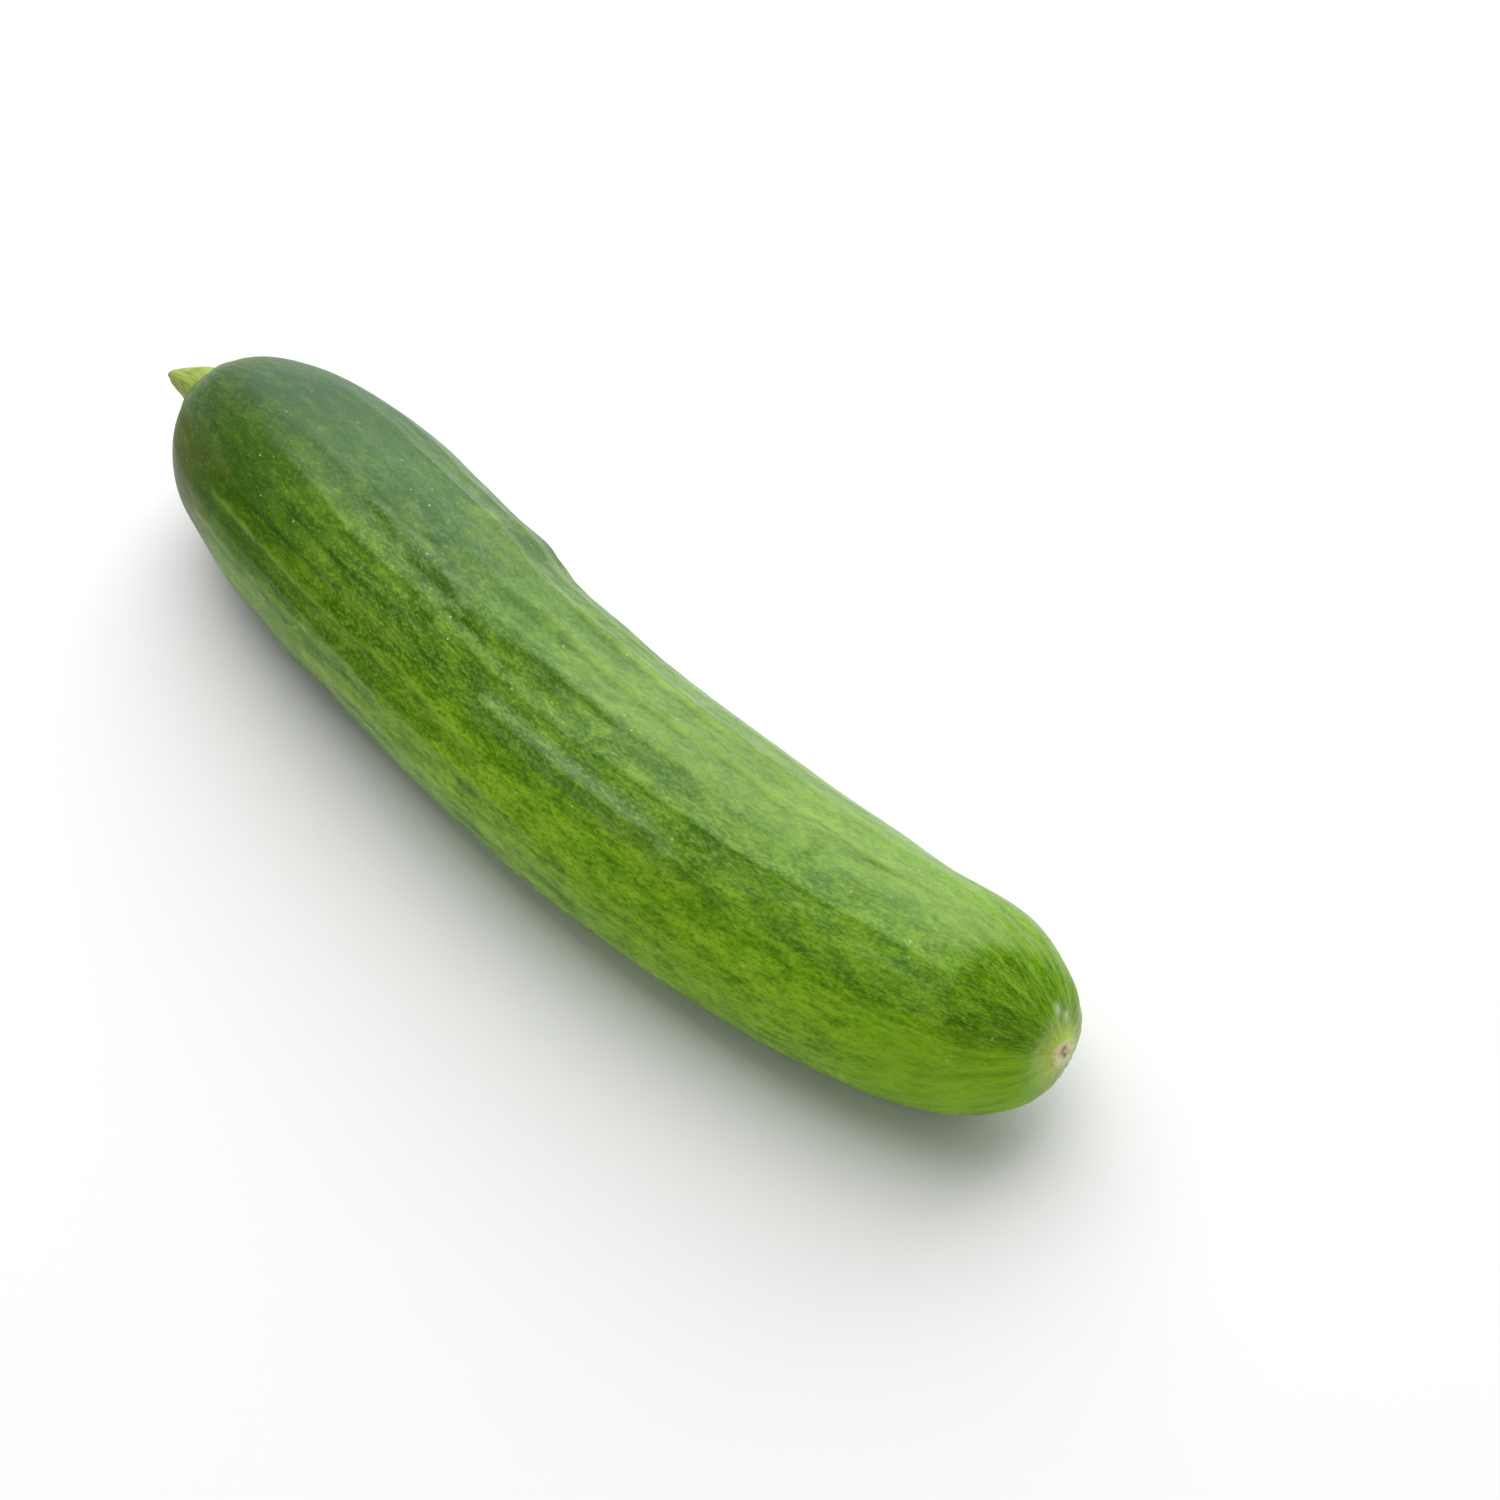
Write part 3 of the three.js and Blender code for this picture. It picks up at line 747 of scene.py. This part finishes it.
def tones(theta, turn, t):
    """How dark (above 0) or pale (below 0) the skin is: spots and bands, partly painted shade and light,
    the tip's cap and the dusk.
    """
    total = sum(tone * spot(theta, t, *place) for *place, _, tone in SPOTS)
    for index, (places, half_width, tone) in enumerate(BANDS):
        away, risen = beside(places, theta, t, BAND_RUN)
        away = away + 0.25 * half_width * np.sin(t * SPAN / 2.3 + 2 * index)
        uneven = 0.75 + 0.25 * np.sin(t * SPAN / 1.7 + index) * np.sin(t * SPAN / 4.1 + 2 * index)
        total = total + tone * risen * uneven * hill(away, 0, half_width)
    cap = tip_edge(turn, t) * (1 - ease(0.982, 0.993, t)) * between((68, 78), (136, 146), turn)
    dusk = np.interp(t, DUSK_PLACES, DUSK_DEPTHS) * hill(turn, DUSK_ANGLE, DUSK_SPREAD)
    return total + CAP_DARKNESS * cap + dusk


def pits(theta, out):
    """1 in the middle of each dark pit of the scar."""
    return sum(
        hill(np.hypot(out * np.cos(theta) - side, out * np.sin(theta) - up), 0, PIT_SIZE)
        for side, up in PITS
    )


def skin_markings(phi, theta, t):
    """The values that the skin's material reads, by name."""
    flat = straightened(theta, t)
    turn = np.degrees(theta) % 360
    out = skin_radius(t)
    tone = tones(theta, turn, t)
    ripeness = np.interp(t, RIPENESS_PLACES, RIPENESS) + 0.1 * grain(flat, *PATCH_GRAIN)
    # the upper side, where the wax bloom is painted paler as sheen
    upper = between((10, 50), (84, 112), turn)
    # painted reflection: a pale band along the lower edge of the bulging side
    rim = hill(turn, 188, 14) * between((0.08, 0.16), (0.42, 0.6), t)
    # the pale ground spot underneath is the skin's own
    belly = hill(turn, 275, 38) * hill(t, 0.5, 0.4)
    # painted light: the low flank lighter towards the blossom end
    low = between((122, 160), (225, 260), turn) * ease(0.28, 0.55, t)
    last = between((138, 150), (230, 260), turn) * ease(0.82, 0.92, t)
    rays = crest(phi) ** 3 * ease(0.86, 0.985, t) * (0.6 + 0.4 * grain(flat, *RAY_GRAIN))
    streaky = (1 - 0.75 * ease(0.5, 0.66, t)) * (0.3 + 0.7 * ease(112, 124, turn))
    markings = {
        "straight": flat,
        "ripeness": np.clip(ripeness, 0, 1),
        # wax bloom on the upper side, painted paler and bluer there as sheen of the light above
        "bloom_and_painted_sheen": upper * ease(0.0, 0.1, t) * (1 - tip_edge(turn, t)),
        "polish": polish(turn, t, out) * (1 - 0.55 * np.clip(tone, 0, 1)),
        "olive": between((126, 142), (215, 235), turn) * (1 - ease(0.08, 0.17, t)),
        "bluntness": 1 - ease(0.08, 0.2, t),
        # the skin's own pale ground spot, with a painted reflection on the lower edge and painted light
        # low on the flank
        "pallor_and_painted_light": np.clip(0.7 * rim + low + 0.7 * belly, 0, 1),
        # painted shade on the step down the upper flank
        "shade": hill(turn, 104, 9) * ease(0.3, 0.42, t) * (1 - 0.7 * ease(0.62, 0.75, t)),
        "stem_shade": (1 - ease(94, 116, turn)) * np.interp(t, SHADE_PLACES, SHADE_DEPTHS),
        "rays": np.clip(rays, 0, 1),
        # painted glints: pale dabs of highlight by the scar
        "painted_glint": sum(spot(theta, t, *place) for place in PAINTED_GLINT_PLACES),
        "tone": np.clip(tone, -1, 1),
        "streaky": ease(0.1, 0.22, t) * streaky,
        "age": ease(0.12, 0.4, t) * (1 - 0.8 * last),
        "from_scar": np.where(t < 0.5, FAR_FROM_SCAR, np.minimum(out, FAR_FROM_SCAR)),
        "pit": pits(theta, out),
    }
    for index, lines in enumerate(LINES):
        markings[f"lines{index}"] = line_group(lines, theta, t)
    return markings


# ----------------------------------------
# Stem
# ----------------------------------------

STEM_GAP = 0.3  # from the fruit's end to the stem's, before its foot is sunk, as in the solids
STEM_MEAN_RADIUS = 3.0
STEM_GRAIN, STEM_GRAIN_HEIGHT = (3, 0.8, 51), 0.1


def make_stem():
    """The stub: an angled cone that leans off the fruit's axis and ends in a slanted, torn cut."""
    along, side, up = section(np.array(0.0))
    outward = -along
    base = centre(np.array(SEAT_SHARE)) + outward * STEM_GAP
    share, angle = np.meshgrid(
        np.linspace(0, 1, STEM_ROWS), TURN * np.arange(STEM_COLUMNS) / STEM_COLUMNS, indexing="ij"
    )
    across, upward = np.cos(angle), np.sin(angle)
    reach = share * STEM_LENGTH
    middle = base + outward * (reach - STEM_ROOT * (1 - ease(0, 0.3, share)))[..., None]
    middle = middle + STEM_TURN * (share * reach)[..., None]
    flat = np.stack([reach, STEM_MEAN_RADIUS * across, STEM_MEAN_RADIUS * upward], axis=-1)
    radius = np.interp(share, STEM_PLACES, STEM_RADII)
    radius = radius + STEM_ANGLE_HEIGHT * np.cos(STEM_ANGLES * angle) * ease(0, 0.25, share)
    radius = radius + STEM_GRAIN_HEIGHT * grain(flat, *STEM_GRAIN)
    from_longest = np.cos(angle - np.radians(STEM_CUT_ANGLE)) - 1
    cut = STEM_CUT_SLOPE * radius * from_longest * share**1.5
    rings = middle + side * (radius * across)[..., None] + up * (radius * upward)[..., None]
    rings = (rings + outward * cut[..., None])[::-1]
    # high: how far up the stem's round a point is, for the painted highlight on its upper side
    attributes = {"straight": flat, "tip": share + 0.12 * from_longest, "high": 0.5 + 0.5 * upward}
    attributes = {key: values[::-1] for key, values in attributes.items()}
    foot = base - outward * STEM_ROOT
    return closed_skin("cucumber_stem", rings, rings[0].mean(axis=0), foot, attributes)


# ----------------------------------------
# Materials
# ----------------------------------------


class Nodes:
    """A material's node tree, with a short way to add and join nodes."""

    def __init__(self, name):
        self.material = bpy.data.materials.new(name)
        self.material.use_nodes = True
        self.tree = self.material.node_tree
        self.shader = self.tree.nodes["Principled BSDF"]

    def add(self, kind, inputs=None, **settings):
        node = self.tree.nodes.new(kind)
        for key, value in settings.items():
            setattr(node, key, value)
        for key, value in (inputs or {}).items():
            self.set(node, key, value)
        return node

    def set(self, node, key, value):
        if isinstance(value, bpy.types.NodeSocket):
            self.tree.links.new(value, node.inputs[key])
        else:
            node.inputs[key].default_value = value

    def attribute(self, name, output="Fac"):
        return self.add("ShaderNodeAttribute", attribute_name=name).outputs[output]

    def math(self, operation, a, b=0.0):
        return self.add("ShaderNodeMath", {0: a, 1: b}, operation=operation).outputs[0]

    def times(self, a, b):
        return self.math("MULTIPLY", a, b)

    def span(self, value, low, high, to_low=0.0, to_high=1.0):
        """A value from low to high turned into one from to_low to to_high, held at both ends."""
        levels = {"From Min": low, "From Max": high, "To Min": to_low, "To Max": to_high}
        return self.add("ShaderNodeMapRange", {"Value": value, **levels}).outputs["Result"]

    def mix(self, share, a, b):
        """The colour a, with a share of the colour b over it."""
        return self.add("ShaderNodeMix", {0: share, 6: a, 7: b}, data_type="RGBA").outputs[2]

    def washed(self, ground, marking, strength, paint):
        """A colour laid over the ground as strongly as one of the mesh's markings says."""
        return self.mix(self.times(self.attribute(marking), strength), ground, paint)

    def stretched(self, place, along, across=1.0):
        inputs = {0: place, 1: (along, across, across)}
        return self.add("ShaderNodeVectorMath", inputs, operation="MULTIPLY").outputs[0]

    def noise(self, place, scale, detail, roughness=0.5):
        inputs = {"Vector": place, "Scale": scale, "Detail": detail, "Roughness": roughness}
        return self.add("ShaderNodeTexNoise", inputs).outputs["Fac"]

    def cells(self, place, scale):
        return self.add("ShaderNodeTexVoronoi", {"Vector": place, "Scale": scale}).outputs["Distance"]

    def bump(self, height, strength, distance, under=None):
        inputs = {"Strength": strength, "Distance": distance, "Height": height}
        if under is not None:
            inputs["Normal"] = under
        return self.add("ShaderNodeBump", inputs).outputs["Normal"]


def colour(red, green, blue):
    """A linear colour from 8-bit display values."""
    shown = np.array([red, green, blue]) / 255
    linear = np.where(shown <= 0.04045, shown / 12.92, ((shown + 0.055) / 1.055) ** 2.4)
    return (*linear.tolist(), 1.0)


STEM_END, MIDDLE, BLOSSOM_END = colour(38, 72, 8), colour(78, 124, 12), colour(106, 157, 12)
STEM_END_SHADE = colour(28, 70, 8)
# colours of the wax bloom, pale and bluish: partly the wax, partly painted sheen of the light above
WAX_AND_SHEEN_BY_STEM, WAX_AND_SHEEN_BEYOND = colour(84, 124, 118), colour(160, 175, 120)
DARK_MARK, PALE_MARK = colour(42, 84, 4), colour(152, 182, 54)
PALE_STREAK = colour(140, 172, 50)
SPECK = colour(200, 214, 150)
# dark lines are painted shade in creases; pale lines are partly painted light on ridges
DARK_LINE, PALE_LINE = colour(30, 64, 6), colour(142, 176, 66)
# the second colour is that of the painted glints by the scar
SCAR_HALO, PAINTED_GLINT_COLOUR = colour(190, 212, 92), colour(206, 228, 190)
CORK_CRACK, CORK, CORK_PIT = colour(216, 198, 140), colour(253, 246, 208), colour(70, 62, 28)
LOW_STEM, LOW_FIBRE = colour(108, 136, 6), colour(142, 166, 18)
# the upper side's colours, paler and greyer: painted highlight
PAINTED_HIGHLIGHT_STEM, PAINTED_HIGHLIGHT_FIBRE = colour(118, 144, 34), colour(162, 180, 84)
TORN_END = colour(74, 78, 30)
FLOOR_GREY = (0.8, 0.8, 0.8, 1.0)

# Colours laid over the whole skin one after the other: marking, strength and colour
WASHES = [
    # the skin's own pale ground spot, with a painted reflection on the lower edge and painted light low on
    # the flank
    ("pallor_and_painted_light", 0.78, colour(140, 190, 34)),
    # painted shade on the step down the upper flank
    ("shade", 0.15, colour(40, 92, 10)),
    ("olive", 0.25, colour(124, 116, 60)),
    ("rays", 0.5, colour(140, 168, 60)),
]
# Random patterns in the skin: how drawn out each is along the fruit (below 1 is longer), its scale,
# its detail and its roughness
PATTERNS = {
    "mottle": (0.45, 0.7, 3.0, 0.65),
    "drift": (0.35, 0.36, 2.0, 0.5),
    "grain": (0.5, 2.5, 3.0, 0.72),
    "streaks": (0.09, 1.0, 3.0, 0.6),
    "breaks": (0.45, 0.6, 3.0, 0.5),
    "waver": (0.45, 0.9, 2.0, 0.5),
}
# What the patterns colour: between two levels of a pattern, its strength goes from one to another
MOTTLING = [
    ("mottle", (0.45, 0.7), (0.0, 0.65), colour(46, 92, 4)),
    ("mottle", (0.5, 0.3), (0.0, 0.35), colour(140, 178, 40)),
    ("drift", (0.5, 0.7), (0.0, 0.4), colour(46, 92, 4)),
    ("drift", (0.5, 0.3), (0.0, 0.3), colour(150, 186, 50)),
    ("grain", (0.3, 0.5), (0.6, 0.0), colour(40, 84, 4)),
    ("grain", (0.5, 0.7), (0.0, 0.45), colour(160, 190, 80)),
]


def grown_colour(n):
    """The skin from the stem end to the blossom end, then its wax with painted sheen, and the washes over
    it.
    """
    ripeness = n.attribute("ripeness")
    grown = n.mix(n.span(ripeness, 0.0, 0.5), STEM_END, MIDDLE)
    grown = n.mix(n.span(ripeness, 0.5, 1.0), grown, BLOSSOM_END)
    grown = n.washed(grown, "stem_shade", 0.5, STEM_END_SHADE)
    wax = n.mix(n.span(ripeness, 0.35, 0.65), WAX_AND_SHEEN_BY_STEM, WAX_AND_SHEEN_BEYOND)
    grown = n.washed(grown, "bloom_and_painted_sheen", 0.16, wax)
    for wash in WASHES:
        grown = n.washed(grown, *wash)
    return grown


def marked(n, ground, broken):
    """The dark and pale spots and bands, partly painted shade and painted light, broken up."""
    tone = n.times(n.attribute("tone"), broken)
    ground = n.mix(n.span(tone, 0.0, 1.0, 0.0, 0.7), ground, DARK_MARK)
    return n.mix(n.span(tone, 0.0, -1.0, 0.0, 0.6), ground, PALE_MARK)


def streaked(n, ground, streaks):
    """Dark and pale streaks along the fruit, the pale ones stronger on older skin."""
    streaky = n.attribute("streaky")
    ground = n.mix(n.times(n.span(streaks, 0.5, 0.7, 0.0, 0.7), streaky), ground, DARK_MARK)
    pale = n.times(n.span(streaks, 0.5, 0.3, 0.0, 0.4), n.attribute("age"))
    return n.mix(n.times(pale, streaky), ground, PALE_STREAK)


def mottled(n, ground, patterns):
    """The mottling, which is fainter under the wax bloom and its painted sheen, and on young skin."""
    age = n.span(n.attribute("age"), 0.0, 1.0, 0.35, 1.0)
    clear = n.times(n.span(n.attribute("bloom_and_painted_sheen"), 0.0, 1.0, 1.0, 0.55), age)
    for name, levels, strengths, paint in MOTTLING:
        ground = n.mix(n.times(n.span(patterns[name], *levels, *strengths), clear), ground, paint)
    return ground


def lined(n, ground, waver, broken):
    """The thin pale and dark lines, wavering and broken up: painted shade in creases, partly painted light
    on ridges.
    """
    sideways = n.span(waver, 0.25, 0.75, -0.5, 0.5)
    for index in range(len(LINES)):
        parts = n.add("ShaderNodeSeparateXYZ", {0: n.attribute(f"lines{index}", "Vector")}).outputs
        away = n.math("ABSOLUTE", n.math("ADD", parts[0], sideways))
        drawn = n.times(n.span(away, 0.2, 1.3, 1.0, 0.0), broken)
        ground = n.mix(n.times(n.times(drawn, parts[1]), 0.45), ground, PALE_LINE)
        ground = n.mix(n.times(n.times(drawn, parts[2]), 0.5), ground, DARK_LINE)
    return ground


def scarred(n, ground, ragged, from_scar):
    """The pale skin round the blossom scar, the painted glints by it, its cork and its pits."""
    ground = n.mix(n.span(from_scar, 2.0, 5.5, 0.85, 0.0), ground, SCAR_HALO)
    # the painted glints by the scar
    ground = n.washed(ground, "painted_glint", 0.65, PAINTED_GLINT_COLOUR)
    cork_colour = n.mix(n.span(ragged, 0.4, 0.62), CORK_CRACK, CORK)
    ground = n.mix(n.span(from_scar, 1.5, 2.1, 1.0, 0.0), ground, cork_colour)
    return n.washed(ground, "pit", 0.85, CORK_PIT)


def skin_roughness(n, mottle, from_scar):
    """Roughness of the skin: more by the stem end and on the scar, and less round the scar."""
    blunt = n.times(n.attribute("bluntness"), 0.12)
    rough = n.math("ADD", n.span(mottle, 0.3, 0.7, 0.23, 0.31), blunt)
    rough = n.math("ADD", rough, n.span(from_scar, 1.6, 2.2, 0.3, 0.0))
    return n.math("SUBTRACT", rough, n.span(from_scar, 5.0, 9.0, 0.08, 0.0))


def skin_material():
    n = Nodes("cucumber skin")
    straight = n.attribute("straight", "Vector")
    patterns = {
        name: n.noise(n.stretched(straight, along), *settings)
        for name, (along, *settings) in PATTERNS.items()
    }
    broken = n.span(patterns["breaks"], 0.35, 0.55, 0.45, 1.0)
    ragged = n.noise(n.add("ShaderNodeTexCoord").outputs["Object"], 900.0, 3.0, 0.7)
    from_scar = n.math("ADD", n.attribute("from_scar"), n.span(ragged, 0.2, 0.8, -1.3, 1.3))
    skin_colour = marked(n, grown_colour(n), broken)
    skin_colour = streaked(n, skin_colour, patterns["streaks"])
    skin_colour = mottled(n, skin_colour, patterns)
    speck = n.span(n.cells(straight, 0.3), 0.03, 0.06, 0.6, 0.0)
    skin_colour = n.mix(speck, skin_colour, SPECK)
    skin_colour = lined(n, skin_colour, patterns["waver"], broken)
    n.set(n.shader, "Base Color", scarred(n, skin_colour, ragged, from_scar))
    n.set(n.shader, "Roughness", skin_roughness(n, patterns["mottle"], from_scar))
    wave = n.bump(patterns["mottle"], 0.5, 0.0002)
    n.set(n.shader, "Normal", n.bump(patterns["grain"], 0.5, 0.0001, wave))
    n.set(n.shader, "Specular IOR Level", n.span(n.attribute("polish"), 0.0, 1.5, 0.02, 0.41))
    return n.material


def stem_material():
    n = Nodes("cucumber stem")
    fibres = n.noise(n.stretched(n.attribute("straight", "Vector"), 0.4, 2.0), 1.5, 3.0)
    lower = n.mix(n.span(fibres, 0.35, 0.65), LOW_STEM, LOW_FIBRE)
    upper = n.mix(n.span(fibres, 0.35, 0.65), PAINTED_HIGHLIGHT_STEM, PAINTED_HIGHLIGHT_FIBRE)
    # painted highlight on the stem's upper side
    body = n.mix(n.span(n.attribute("high"), 0.4, 0.9), lower, upper)
    body = n.mix(n.span(n.attribute("tip"), 0.93, 0.99), body, TORN_END)
    n.set(n.shader, "Base Color", body)
    n.set(n.shader, "Roughness", 0.6)
    n.set(n.shader, "Normal", n.bump(fibres, 0.4, 0.0003))
    return n.material


def floor_material():
    n = Nodes("pale floor")
    n.set(n.shader, "Base Color", FLOOR_GREY)
    n.set(n.shader, "Roughness", 0.7)
    n.set(n.shader, "Specular IOR Level", 0.2)
    return n.material


# ----------------------------------------
# Floor, light and camera, in metres
# ----------------------------------------

FLOOR_SIZE = 8.0
# low and high corners of the softbox's panels, side by side, which narrow towards -X
SOFTBOX = [
    ((-1.15, -0.345), (0.28, 4.0)),
    ((-1.7, 0.12), (-1.15, 4.0)),
    ((-2.6, 0.55), (-1.7, 4.0)),
    ((-5.0, 1.4), (-2.6, 5.0)),
]
SOFTBOX_HEIGHT, SOFTBOX_RADIANCE = 1.0, 2.3
SURROUND_RADIANCE = 0.42
CAMERA_AZIMUTH, CAMERA_ELEVATION = 44.95, 50.0
CAMERA_DISTANCE = 0.46985
CAMERA_LENS, CAMERA_SENSOR = 85.0, 36.0
NEAREST_SEEN = 0.01
AIM_RIGHT, AIM_UP, AIM_HEIGHT = 0.02522, -0.00174, 0.017


def make_floor():
    half = FLOOR_SIZE / 2
    square = [(-half, -half, 0), (half, -half, 0), (half, half, 0), (-half, half, 0)]
    mesh = bpy.data.meshes.new("floor")
    mesh.from_pydata(square, [], [(0, 1, 2, 3)])
    floor = bpy.data.objects.new("floor", mesh)
    bpy.context.collection.objects.link(floor)
    floor.data.materials.append(floor_material())


def make_panel(name, low, high):
    """A level panel of light that faces down, over the box low..high in X and Y."""
    size = np.subtract(high, low)
    light = bpy.data.lights.new(name, "AREA")
    light.shape = "RECTANGLE"
    light.size, light.size_y = size.tolist()
    light.energy = SOFTBOX_RADIANCE * np.pi * size.prod()
    lamp = bpy.data.objects.new(name, light)
    lamp.location = (*np.add(low, high) / 2, SOFTBOX_HEIGHT)
    bpy.context.collection.objects.link(lamp)


def make_surround():
    world = bpy.data.worlds.new("studio")
    world.use_nodes = True
    background = world.node_tree.nodes["Background"]
    background.inputs["Color"].default_value = (1, 1, 1, 1)
    background.inputs["Strength"].default_value = SURROUND_RADIANCE
    bpy.context.scene.world = world


def make_camera():
    """The camera: azimuth and elevation are in degrees, from -Y and from level."""
    azimuth, elevation = np.radians([CAMERA_AZIMUTH, CAMERA_ELEVATION])
    level = np.cos(elevation)
    right = Vector((np.cos(azimuth), np.sin(azimuth), 0))
    back = Vector((np.sin(azimuth) * level, -np.cos(azimuth) * level, np.sin(elevation)))
    up = back.cross(right)
    aim = Vector((0, 0, AIM_HEIGHT)) + right * AIM_RIGHT + up * AIM_UP
    camera = bpy.data.cameras.new("camera")
    camera.lens, camera.sensor_width = CAMERA_LENS, CAMERA_SENSOR
    camera.clip_start = NEAREST_SEEN
    holder = bpy.data.objects.new("camera", camera)
    holder.rotation_mode = "QUATERNION"
    holder.rotation_quaternion = Matrix((right, up, back)).transposed().to_quaternion()
    holder.location = aim + back * CAMERA_DISTANCE
    bpy.context.collection.objects.link(holder)
    bpy.context.scene.camera = holder


skin = make_skin()
skin.data.materials.append(skin_material())
stem = make_stem()
stem.data.materials.append(stem_material())
for piece, node, slot in ((skin, "fruit", "skin"), (stem, "stem", "stem")):
    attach(piece, "root")
    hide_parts(node)

make_floor()
for index, (low, high) in enumerate(SOFTBOX):
    make_panel(f"softbox {index}", low, high)
make_surround()
make_camera()
bpy.context.scene.view_settings.view_transform = "Standard"
